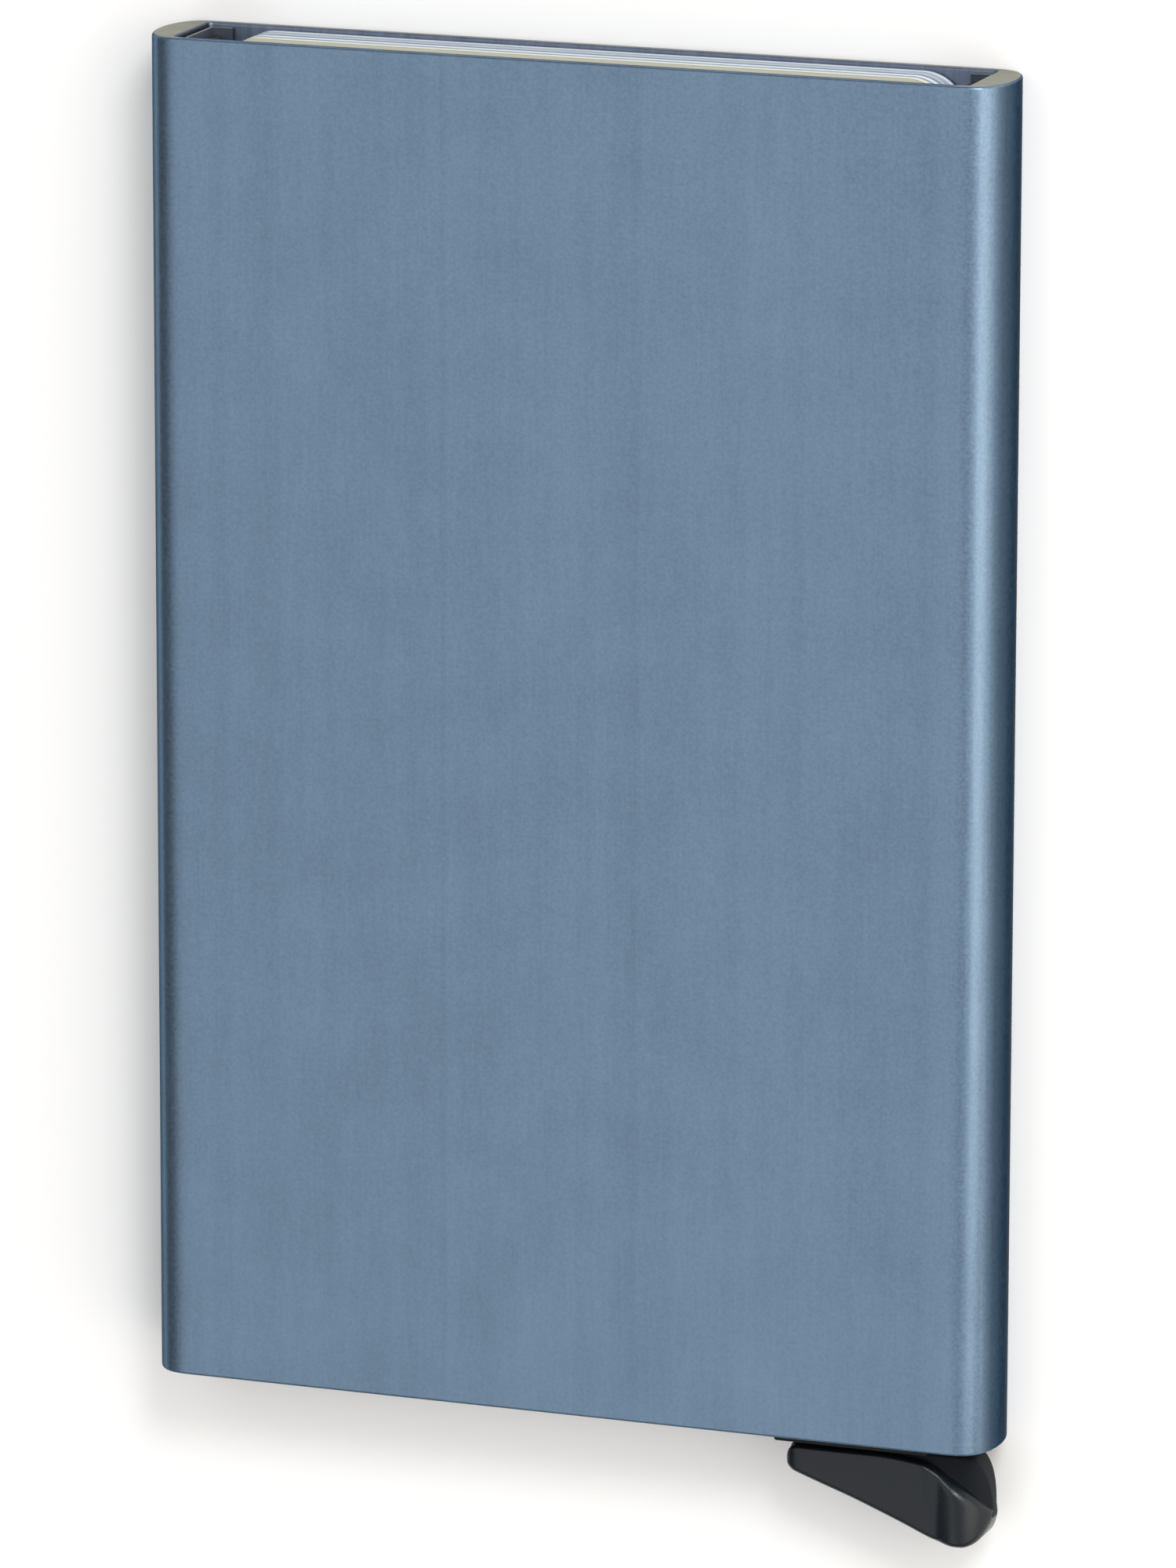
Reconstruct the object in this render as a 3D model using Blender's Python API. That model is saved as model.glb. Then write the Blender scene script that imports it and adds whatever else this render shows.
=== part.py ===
"""Pop-up card holder: an extruded aluminium sleeve, a moulded base and a stepped ejector lever.

The holder lies on its back. +X is to the right, +Y is the way the cards come out and +Z is
from the back face to the front face. The origin is the middle of the back face.
The lever turns clockwise, seen from the front, and each of its steps lifts one card.
"""
import math

import bmesh
import bpy
from mathutils import Matrix, Vector

MM = 0.001

# Directions in an outline, as angles from its first axis
TO_RIGHT, TO_TOP, TO_LEFT, TO_FOOT, FULL_TURN = (
    math.radians(turn) for turn in (0.0, 90.0, 180.0, 270.0, 360.0))

# Cards of the common bank card size, loaded against the back wall
CARD_WIDTH = 53.98 * MM
CARD_LENGTH = 85.6 * MM
CARD_THICKNESS = 0.76 * MM
CARD_CORNER_RADIUS = 3.18 * MM
CARD_TOP_BELOW_RIM = 0.3 * MM
CARD_TO_WALL = 0.25 * MM
CARD_TO_CARD = 0.22 * MM
CARDS_LOADED = 4
CARD_CORNER_FACETS = 10

# Housing, one aluminium extrusion open at both ends. Its chamber follows from the cards, the
# strips beside them and the base below them.
BASE_DEPTH = 11.0 * MM
STACK_SPARE = 0.79 * MM
SIDE_BULGE = 2.13 * MM
FACE_WALL = 0.65 * MM
SIDE_WALL = 2.4 * MM
CHAMBER_CORNER_RADIUS = 0.35 * MM
RIM_CHAMFER = 0.12 * MM
SIDE_FACETS = 28
CORNER_FACETS = 5

# Clearances shared by the moulded pieces
FIT = 0.3 * MM
WALL_FIT = 0.25 * MM
PIN_FIT = 0.15 * MM
OVERRUN = 1.0 * MM
LAP = 0.2 * MM

# Pivot of the lever, a steel pin along Z
PIVOT_ABOVE_RIM = 4.0 * MM
PIN_RADIUS = 1.0 * MM
PIN_CHAMFER = 0.15 * MM
PIN_FACETS = 32

# Stepped part of the lever, one step for each card that the holder can take. The longest step
# reaches as near to the column of the base as its swing allows.
STEP_COUNT = 6
SWING = math.radians(45.0)
SWING_SPARE = math.radians(3.0)
SHORTEST_REACH = 8.5 * MM
ARM_TO_STRIP = 0.4 * MM
STEP_DRAFT = 0.08 * MM
ARM_TIP_RADIUS = 0.8 * MM
CAM_FACETS = 14
TIP_FACETS = 4

# Hub of the lever, and the root that joins it to the steps
HUB_BEYOND_COIL = 0.325 * MM
HUB_THICKNESS = 1.5 * MM
SLEEVE_WALL = 0.55 * MM
ROOT_REACH = 7.4 * MM
ROOT_BELOW_STEPS = 1.8 * MM
ROOT_HALF_WIDTH = 1.4 * MM
ROOT_SHOULDER = 2.25 * MM
HUB_FACETS = 40

# Thumb piece below the rim, a loft of tee shaped sections from its left tip to its right end
THUMB_LEFT = 7.5 * MM
THUMB_RIGHT = 7.45 * MM
THUMB_DROP = 7.2 * MM
WEB_HALF = 1.4 * MM
WEB_EDGE_RADIUS = 0.3 * MM
SHOULDER_FILLET = 0.25 * MM
SHOULDER_RADIUS = 0.32 * MM
PAD_EDGE_RADIUS = 0.5 * MM
NECK_LEFT = 2.5 * MM
NECK_RIGHT = 2.4 * MM
NECK_OVERLAP = 1.8 * MM
ARC_STEPS = 3

# Where the section is small, its roundings are held to these shares of the room they have
FILLET_WIDTH_SHARE = 0.45
FILLET_HEIGHT_SHARE = 0.6
EDGE_WIDTH_SHARE = 0.5
EDGE_HEIGHT_SHARE = 0.35
PAD_HEIGHT_SHARE = 0.4

# Each row: way along the thumb piece, then web top, shoulder and underside as shares of the
# drop below the rim, then web and pad thickness as shares of their full thickness
THUMB_SECTION_SHARES = (
    (0.001, 0.240, 0.254, 0.327, 0.60, 0.66),
    (0.013, 0.178, 0.197, 0.369, 0.83, 0.87),
    (0.040, 0.117, 0.144, 0.404, 0.98, 0.97),
    (0.080, 0.090, 0.136, 0.433, 1.00, 1.00),
    (0.194, 0.086, 0.136, 0.517, 1.00, 1.00),
    (0.328, 0.086, 0.136, 0.613, 1.00, 1.00),
    (0.482, 0.088, 0.136, 0.736, 1.00, 1.00),
    (0.595, 0.097, 0.156, 0.831, 1.00, 1.00),
    (0.676, 0.104, 0.181, 0.903, 1.00, 1.00),
    (0.722, 0.104, 0.211, 0.944, 1.00, 0.985),
    (0.763, 0.104, 0.257, 0.969, 1.00, 0.995),
    (0.803, 0.104, 0.313, 0.989, 1.00, 1.075),
    (0.843, 0.104, 0.361, 1.000, 1.00, 1.12),
    (0.883, 0.108, 0.414, 1.000, 1.00, 1.09),
    (0.916, 0.125, 0.458, 0.983, 0.96, 1.00),
    (0.946, 0.188, 0.507, 0.944, 0.86, 0.85),
    (0.970, 0.278, 0.556, 0.882, 0.71, 0.66),
    (0.987, 0.389, 0.604, 0.813, 0.53, 0.48),
    (0.997, 0.514, 0.646, 0.750, 0.35, 0.32),
    (1.000, 0.611, 0.667, 0.708, 0.21, 0.19),
)

# Base, a moulded frame and a moulded cover that close the bottom of the housing
BASE_RECESS = 0.3 * MM
STRIP_HEIGHT = 0.9 * MM
PLATE_THICKNESS = 0.5 * MM
DISC_BELOW_STEPS = 1.8 * MM
BASE_STEP_IN = 0.08 * MM
SLOT_RIM_PROUD = 0.45 * MM
SLOT_RIM_WALL = 0.4 * MM
SLOT_RIM_SLOPE = 0.5 * MM
SLOT_RIM_PAST_TIP = 0.35 * MM
NECK_TO_SLOT = 0.5 * MM
CHEEK_WIDTH = 1.9 * MM
HUB_TO_CHEEK = 0.55 * MM
BLOCK_LEFT = 1.1 * MM
BLOCK_TO_HUB = 0.6 * MM
COLUMN_WIDTH = 8.4 * MM
COLUMN_WALL = 0.9 * MM
COLUMN_HEAD = 3.6 * MM
PEG_RADIUS = 0.5 * MM
PEG_FACETS = 20
DISC_FACETS = 24

# Return spring, a torsion spring round the sleeve of the hub
WIRE_RADIUS = 0.225 * MM
COIL_TO_SLEEVE = 0.325 * MM
COIL_POINTS_PER_TURN = 24
WHOLE_TURNS = 2
LEG_RISE = math.radians(20.0)
MOVING_LEG = 5.6 * MM
FIXED_LEG_BELOW_STEPS = 1.4 * MM
LEG_POINTS = 3

# Grip strips and the thin channels that hold them at the sides of the cards
CHANNEL_DEPTH = 1.65 * MM
CHANNEL_WALL = 0.22 * MM
CHANNEL_TO_CARD = 0.21 * MM
STRIP_BELOW_RIM = 0.75 * MM
STRIP_CROWN = 0.45 * MM
STRIP_BODY = 0.5 * MM
CROWN_FACETS = 10

# Chamber and housing, from the cards
CARD_PITCH = CARD_THICKNESS + CARD_TO_CARD
CHAMBER_HALF = CARD_WIDTH / 2 + CHANNEL_TO_CARD + CHANNEL_DEPTH + WALL_FIT
CHAMBER_DEPTH = CARD_TO_WALL + STEP_COUNT * CARD_PITCH - CARD_TO_CARD + STACK_SPARE
HOUSING_WIDTH = 2 * (CHAMBER_HALF + SIDE_WALL)
HOUSING_LENGTH = CARD_TOP_BELOW_RIM + CARD_LENGTH + BASE_DEPTH
HOUSING_THICKNESS = CHAMBER_DEPTH + 2 * FACE_WALL

RIM_TOP = HOUSING_LENGTH / 2
RIM_BOTTOM = -HOUSING_LENGTH / 2
CHAMBER_BACK = FACE_WALL
CHAMBER_FRONT = HOUSING_THICKNESS - FACE_WALL
MIDDLE_Z = HOUSING_THICKNESS / 2
CARD_TOP = RIM_TOP - CARD_TOP_BELOW_RIM
CARD_FOOT = CARD_TOP - CARD_LENGTH

# Hub and spring, from the pin outwards
SLEEVE_RADIUS = PIN_RADIUS + PIN_FIT + SLEEVE_WALL
COIL_RADIUS = SLEEVE_RADIUS + COIL_TO_SLEEVE + WIRE_RADIUS
SPRING_SPACE_RADIUS = COIL_RADIUS + WIRE_RADIUS + FIT
HUB_RADIUS = COIL_RADIUS + WIRE_RADIUS + HUB_BEYOND_COIL

# Pivot, next to the cheek of the base, and the heights of what turns on it
PIVOT_X = CHAMBER_HALF - WALL_FIT - CHEEK_WIDTH - HUB_TO_CHEEK - HUB_RADIUS
PIVOT_Y = RIM_BOTTOM + PIVOT_ABOVE_RIM
RIM_DROP = -PIVOT_ABOVE_RIM
STEP_TOP = CARD_FOOT - FIT - PIVOT_Y
ARM_BELOW_PIVOT = PIVOT_ABOVE_RIM - BASE_RECESS - STRIP_HEIGHT - ARM_TO_STRIP
ROOT_RISE = STEP_TOP - ROOT_BELOW_STEPS
FIXED_LEG = STEP_TOP - FIXED_LEG_BELOW_STEPS
PLATE_DISC_RADIUS = STEP_TOP - DISC_BELOW_STEPS
BLOCK_BOTTOM = HUB_RADIUS + BLOCK_TO_HUB

# Base
BASE_HALF = CHAMBER_HALF - WALL_FIT
BASE_BACK = CHAMBER_BACK + WALL_FIT
BASE_FRONT = CHAMBER_FRONT - WALL_FIT
BACK_PLATE_TOP = BASE_BACK + PLATE_THICKNESS
COVER_BACK = BASE_FRONT - PLATE_THICKNESS
FRAME_FRONT = COVER_BACK - FIT
BASE_TOP = CARD_FOOT - FIT
BASE_FOOT = RIM_BOTTOM + BASE_RECESS
STRIP_TOP = BASE_FOOT + STRIP_HEIGHT
FLOOR_TOP = STRIP_TOP - BASE_STEP_IN
SLOT_RIM_FOOT = RIM_BOTTOM - SLOT_RIM_PROUD

# Lever
HUB_BACK = BACK_PLATE_TOP + FIT
HUB_FRONT = HUB_BACK + HUB_THICKNESS
SLEEVE_FRONT = COVER_BACK - FIT
PAD_HALF = (COVER_BACK - BACK_PLATE_TOP) / 2 - FIT
ARM_BACK = BASE_BACK
ARM_FRONT = CHAMBER_FRONT - FIT
ARM_CLEAR_RADIUS = PLATE_DISC_RADIUS + FIT

# The tip of the longest step goes round at ARM_RADIUS. Its reach and the lift of the full swing
# are the two sides of a right angle, which gives the longest reach that the column allows. The
# depth of the arm allows the other one, with the end of the step's curve above the tip rounding.
COLUMN_RIGHT = COLUMN_WIDTH - BASE_HALF
ARM_RADIUS = PIVOT_X - COLUMN_RIGHT - FIT
FULL_SWING = SWING + SWING_SPARE
SWING_SQUARE = 1 + FULL_SWING ** 2
REACH_ROOT = math.sqrt(SWING_SQUARE * ARM_RADIUS ** 2 - STEP_TOP ** 2)
REACH_AT_COLUMN = (REACH_ROOT - STEP_TOP * FULL_SWING) / SWING_SQUARE
ROOM_IN_ARM = STEP_TOP * math.cos(FULL_SWING) + ARM_BELOW_PIVOT - ARM_TIP_RADIUS
REACH_IN_ARM = ROOM_IN_ARM / (math.sin(FULL_SWING) - FULL_SWING * math.cos(FULL_SWING))
LONGEST_REACH = min(REACH_AT_COLUMN, REACH_IN_ARM)

# Slot of the thumb piece: its left end clears the path of the tip, and its rim stands proud
THUMB_LENGTH = THUMB_LEFT + THUMB_RIGHT
THUMB_TIP_RADIUS = max(
    math.hypot(THUMB_LEFT - row[0] * THUMB_LENGTH, PIVOT_ABOVE_RIM + row[3] * THUMB_DROP)
    for row in THUMB_SECTION_SHARES if row[0] * THUMB_LENGTH < THUMB_LEFT / 2
)
SLOT_LEFT = PIVOT_X - THUMB_TIP_RADIUS - FIT
SLOT_RIGHT = NECK_RIGHT + NECK_TO_SLOT
SLOT_RIM_LEFT = PIVOT_X - THUMB_LEFT - SLOT_RIM_PAST_TIP
SLOT_RIM_RIGHT = PIVOT_X + SLOT_RIGHT + SLOT_RIM_WALL

CHANNEL_OUTER = CHAMBER_HALF - WALL_FIT
CHANNEL_INNER = CARD_WIDTH / 2 + CHANNEL_TO_CARD
CHANNEL_BACK = CHAMBER_BACK + WALL_FIT
CHANNEL_FRONT = CHAMBER_FRONT - WALL_FIT
CHANNEL_TOP = RIM_TOP - CARD_TOP_BELOW_RIM
CHANNEL_FOOT = BASE_TOP + FIT


def clear_scene():
    for item in list(bpy.data.objects):
        bpy.data.objects.remove(item, do_unlink=True)


def make_material(name, colour, roughness, metallic):
    finish = bpy.data.materials.new(name)
    finish.use_nodes = True
    shader = finish.node_tree.nodes["Principled BSDF"]
    shader.inputs["Base Color"].default_value = (*colour, 1.0)
    shader.inputs["Roughness"].default_value = roughness
    shader.inputs["Metallic"].default_value = metallic
    return finish


def add_object(name, bm, place=(0.0, 0.0, 0.0), smooth_angle=math.radians(35.0)):
    """Turn a bmesh into a named object with its faces pointing out."""
    bmesh.ops.recalc_face_normals(bm, faces=bm.faces)
    mesh = bpy.data.meshes.new(name)
    bm.to_mesh(mesh)
    bm.free()
    mesh.shade_smooth()
    mesh.set_sharp_from_angle(angle=smooth_angle)
    item = bpy.data.objects.new(name, mesh)
    item.location = place
    bpy.context.scene.collection.objects.link(item)
    return item


def dress(item, colour, roughness, metallic=0.0):
    item.data.materials.append(make_material(item.name, colour, roughness, metallic))
    return item


def settle(item, smooth_angle=math.radians(35.0)):
    """Turn an object's modifiers into plain geometry, with sharp edges marked afresh."""
    scene_state = bpy.context.evaluated_depsgraph_get()
    mesh = bpy.data.meshes.new_from_object(item.evaluated_get(scene_state))
    item.modifiers.clear()
    item.data = mesh
    mesh.shade_smooth()
    mesh.set_sharp_from_angle(angle=smooth_angle)
    return item


def combine(item, tools, operation):
    """Join or cut an object with each of its helper solids, then drop the helpers."""
    for tool in tools:
        step = item.modifiers.new(f"{operation.lower()} {tool.name}", "BOOLEAN")
        step.operation = operation
        step.solver = "EXACT"
        step.object = tool
    settle(item)
    for tool in tools:
        bpy.data.objects.remove(tool, do_unlink=True)
    return item


def soften(item, width, angle, segments=1):
    edge = item.modifiers.new("edges", "BEVEL")
    edge.width = width
    edge.segments = segments
    edge.limit_method = "ANGLE"
    edge.angle_limit = angle
    return settle(item)


def prism(outline, low, high, along="Z"):
    """Extrude a closed outline: (x, y) points along Z, or (x, z) points along Y."""
    bm = bmesh.new()
    if along == "Z":
        corners = [bm.verts.new((a, b, low)) for a, b in outline]
        travel = Vector((0.0, 0.0, high - low))
    else:
        corners = [bm.verts.new((a, low, b)) for a, b in outline]
        travel = Vector((0.0, high - low, 0.0))
    face = bm.faces.new(corners)
    grown = bmesh.ops.extrude_face_region(bm, geom=[face])
    moved = [part for part in grown["geom"] if isinstance(part, bmesh.types.BMVert)]
    bmesh.ops.translate(bm, verts=moved, vec=travel)
    return bm


def loft(rings):
    """Bridge closed rings of equal count and close both ends."""
    bm = bmesh.new()
    loops = []
    for ring in rings:
        verts = [bm.verts.new(point) for point in ring]
        edges = [bm.edges.new((verts[n - 1], verts[n])) for n in range(len(verts))]
        loops.append((verts, edges))
    for (_, first), (_, second) in zip(loops, loops[1:]):
        bmesh.ops.bridge_loops(bm, edges=first + second)
    bm.faces.new(loops[0][0])
    bm.faces.new(loops[-1][0])
    return bm


def arc(centre, radius, start, end, facets):
    """Points of an arc, both ends included."""
    turns = [start + (end - start) * n / facets for n in range(facets + 1)]
    return [(centre[0] + radius * math.cos(t), centre[1] + radius * math.sin(t)) for t in turns]


def rectangle(left, low, right, high):
    return [(left, low), (right, low), (right, high), (left, high)]


def rounded_rectangle(left, low, right, high, radius, facets):
    points = arc((right - radius, low + radius), radius, TO_FOOT, FULL_TURN, facets)
    points += arc((right - radius, high - radius), radius, TO_RIGHT, TO_TOP, facets)
    points += arc((left + radius, high - radius), radius, TO_TOP, TO_LEFT, facets)
    points += arc((left + radius, low + radius), radius, TO_LEFT, TO_FOOT, facets)
    return points


def cylinder(radius, low, high, facets):
    return prism(arc((0.0, 0.0), radius, TO_RIGHT, FULL_TURN, facets)[:-1], low, high)


def build_housing():
    """The extrusion: flat faces, sides that bulge as half ellipses, one rectangular chamber."""
    half = HOUSING_WIDTH / 2 - SIDE_BULGE
    outline = []
    for side in (1, -1):
        for n in range(SIDE_FACETS + 1):
            turn = TO_LEFT * n / SIDE_FACETS - TO_TOP
            x = side * (half + SIDE_BULGE * math.cos(turn))
            outline.append((x, MIDDLE_Z + side * MIDDLE_Z * math.sin(turn)))
    housing = add_object("housing", prism(outline, RIM_BOTTOM, RIM_TOP, "Y"))
    chamber = rounded_rectangle(-CHAMBER_HALF, CHAMBER_BACK, CHAMBER_HALF, CHAMBER_FRONT,
                                CHAMBER_CORNER_RADIUS, CORNER_FACETS)
    cutter = add_object("chamber_cutter",
                        prism(chamber, RIM_BOTTOM - OVERRUN, RIM_TOP + OVERRUN, "Y"))
    combine(housing, [cutter], "DIFFERENCE")
    soften(housing, RIM_CHAMFER, math.radians(60.0))
    return dress(housing, (0.165, 0.247, 0.349), 0.42, 0.9)


def base_plate_outline():
    """Outline shared by the back plate of the frame and by the cover."""
    strip = STRIP_TOP - PIVOT_Y
    meet = math.atan2(strip, -math.sqrt(PLATE_DISC_RADIUS ** 2 - strip ** 2)) + 2 * math.pi
    leave = math.acos(BLOCK_LEFT / PLATE_DISC_RADIUS)
    disc = arc((PIVOT_X, PIVOT_Y), PLATE_DISC_RADIUS, leave, meet, DISC_FACETS)
    outline = [
        (-BASE_HALF, BASE_FOOT),
        (SLOT_RIM_LEFT - SLOT_RIM_SLOPE, BASE_FOOT),
        (SLOT_RIM_LEFT, SLOT_RIM_FOOT),
        (SLOT_RIM_RIGHT, SLOT_RIM_FOOT),
        (SLOT_RIM_RIGHT, BASE_FOOT),
        (BASE_HALF, BASE_FOOT),
        (BASE_HALF, BASE_TOP),
        (PIVOT_X + BLOCK_LEFT, BASE_TOP),
    ]
    outline += disc
    outline += [
        (COLUMN_RIGHT, STRIP_TOP),
        (COLUMN_RIGHT, BASE_TOP),
        (-BASE_HALF, BASE_TOP),
    ]
    return outline


def peg_places():
    """Middle of the two pegs that locate the cover on the frame."""
    left = ((COLUMN_RIGHT - BASE_HALF) / 2, BASE_TOP - COLUMN_HEAD / 2)
    right = (BASE_HALF - CHEEK_WIDTH / 2, PIVOT_Y)
    return (left, right)


def build_base_frame():
    """Back half of the base: floor, column, cheek, spring block and back rail of the slot."""
    frame = add_object("base_frame", prism(base_plate_outline(), BASE_BACK, BACK_PLATE_TOP))
    low = BACK_PLATE_TOP - LAP
    once = BASE_STEP_IN
    twice = 2 * BASE_STEP_IN
    solids = {
        "frame_floor": (-BASE_HALF + once, BASE_FOOT + once, SLOT_LEFT, FLOOR_TOP),
        "frame_slot_right": (PIVOT_X + SLOT_RIGHT, SLOT_RIM_FOOT + once,
                             SLOT_RIM_RIGHT - once, FLOOR_TOP),
        "frame_column": (-BASE_HALF + twice, BASE_FOOT + twice,
                         COLUMN_RIGHT - once, BASE_TOP - once),
        "frame_cheek": (BASE_HALF - CHEEK_WIDTH, BASE_FOOT + twice,
                        BASE_HALF - once, BASE_TOP - twice),
        "frame_block": (PIVOT_X + BLOCK_LEFT + once, PIVOT_Y + BLOCK_BOTTOM,
                        BASE_HALF - twice, BASE_TOP - once),
    }
    added = []
    for name, box in solids.items():
        added.append(add_object(name, prism(rectangle(*box), low, FRAME_FRONT)))
    combine(frame, added, "UNION")
    pegs = []
    for n, (x, y) in enumerate(peg_places()):
        peg = cylinder(PEG_RADIUS, FRAME_FRONT - COLUMN_WALL, BASE_FRONT, PEG_FACETS)
        pegs.append(add_object(f"frame_peg_{n}", peg, (x, y, 0.0)))
    pocket = rectangle(-BASE_HALF + COLUMN_WALL, STRIP_TOP, COLUMN_RIGHT - COLUMN_WALL,
                       BASE_TOP - COLUMN_HEAD)
    groove_half = WIRE_RADIUS + FIT
    groove = rectangle(PIVOT_X + COIL_RADIUS - groove_half, PIVOT_Y + BLOCK_BOTTOM - OVERRUN,
                       PIVOT_X + COIL_RADIUS + groove_half, PIVOT_Y + FIXED_LEG + FIT)
    groove_low = spring_top() - groove_half
    cuts = [
        add_object("column_pocket", prism(pocket, BACK_PLATE_TOP, FRAME_FRONT + OVERRUN)),
        add_object("leg_groove", prism(groove, groove_low, FRAME_FRONT + OVERRUN)),
        add_object("frame_pin_hole",
                   cylinder(PIN_RADIUS + PIN_FIT, BASE_BACK - OVERRUN, HUB_BACK, PIN_FACETS),
                   (PIVOT_X, PIVOT_Y, 0.0)),
    ]
    combine(frame, cuts, "DIFFERENCE")
    combine(frame, pegs, "UNION")
    return dress(frame, (0.022, 0.024, 0.026), 0.5)


def build_base_cover():
    """Front half of the base: a plate with the front rail of the slot."""
    cover = add_object("base_cover", prism(base_plate_outline(), COVER_BACK, BASE_FRONT))
    cuts = [add_object("cover_pin_hole",
                       cylinder(PIN_RADIUS + PIN_FIT, SLEEVE_FRONT, BASE_FRONT + OVERRUN, PIN_FACETS),
                       (PIVOT_X, PIVOT_Y, 0.0))]
    for n, (x, y) in enumerate(peg_places()):
        hole = cylinder(PEG_RADIUS + PIN_FIT, SLEEVE_FRONT, BASE_FRONT + OVERRUN, PEG_FACETS)
        cuts.append(add_object(f"cover_peg_hole_{n}", hole, (x, y, 0.0)))
    combine(cover, cuts, "DIFFERENCE")
    return dress(cover, (0.026, 0.028, 0.03), 0.5)


def reach_of(step):
    """How far left of the pivot a step touches its card. Step 0 is the rearmost."""
    return LONGEST_REACH + (SHORTEST_REACH - LONGEST_REACH) * step / (STEP_COUNT - 1)


def card_back(step):
    return CHAMBER_BACK + CARD_TO_WALL + step * CARD_PITCH


def step_back(step):
    """Back face of a step, which is the front face of the higher step behind it."""
    return ARM_BACK if step == 0 else card_back(step) - FIT


def step_outline(step):
    """A step in pivot coordinates.

    Its top is an involute of a circle of the step's reach, so it touches the flat foot of
    the card at the same distance from the pivot at every angle, and the lift is the reach
    times the angle.
    """
    reach = reach_of(step)
    low = -ARM_BELOW_PIVOT + STEP_DRAFT * step
    points = []
    for n in range(CAM_FACETS + 1):
        turn = FULL_SWING * n / CAM_FACETS
        lift = STEP_TOP + reach * turn
        x = -reach * math.cos(turn) - lift * math.sin(turn)
        y = -reach * math.sin(turn) + lift * math.cos(turn)
        points.append((x, y))
    tip_x = points[-1][0]
    points += arc((tip_x + ARM_TIP_RADIUS, low + ARM_TIP_RADIUS), ARM_TIP_RADIUS,
                  math.pi, 1.5 * math.pi, TIP_FACETS)
    clear = ARM_CLEAR_RADIUS + STEP_DRAFT * step
    start = math.atan2(low, -math.sqrt(clear ** 2 - low ** 2)) + 2 * math.pi
    end = math.atan2(ROOT_RISE, -ROOT_REACH)
    points += arc((0.0, 0.0), clear, start, end, TIP_FACETS * 2)
    points.append((-SHORTEST_REACH, STEP_TOP - STEP_DRAFT * (STEP_COUNT - step)))
    return points


def thumb_section(shares):
    """A ring of the thumb piece: a tee with a narrow web above and a wide pad below."""
    along, web_top, shoulder, under, web_share, pad_share = shares
    x = -THUMB_LEFT + along * THUMB_LENGTH
    top = RIM_DROP - web_top * THUMB_DROP
    ridge = RIM_DROP - shoulder * THUMB_DROP
    foot = RIM_DROP - under * THUMB_DROP
    web = WEB_HALF * web_share
    pad = PAD_HALF * pad_share
    fillet = min(SHOULDER_FILLET, (pad - web) * FILLET_WIDTH_SHARE, (top - ridge) * FILLET_HEIGHT_SHARE)
    corner = min(SHOULDER_RADIUS, (pad - web) * EDGE_WIDTH_SHARE, (ridge - foot) * PAD_HEIGHT_SHARE)
    edge = min(WEB_EDGE_RADIUS, web * EDGE_WIDTH_SHARE, (top - ridge) * EDGE_HEIGHT_SHARE)
    sole = min(PAD_EDGE_RADIUS, pad * EDGE_WIDTH_SHARE, (ridge - foot) * PAD_HEIGHT_SHARE)
    half = arc((web - edge, top - edge), edge, TO_TOP, TO_RIGHT, ARC_STEPS)
    half += arc((web + fillet, ridge + fillet), fillet, TO_LEFT, TO_FOOT, ARC_STEPS)
    half += arc((pad - corner, ridge - corner), corner, TO_TOP, TO_RIGHT, ARC_STEPS)
    half += arc((pad - sole, foot + sole), sole, FULL_TURN, TO_FOOT, ARC_STEPS)
    front = [(x, y, MIDDLE_Z + z) for z, y in half]
    back = [(x, y, MIDDLE_Z - z) for z, y in reversed(half)]
    return front + back


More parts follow.
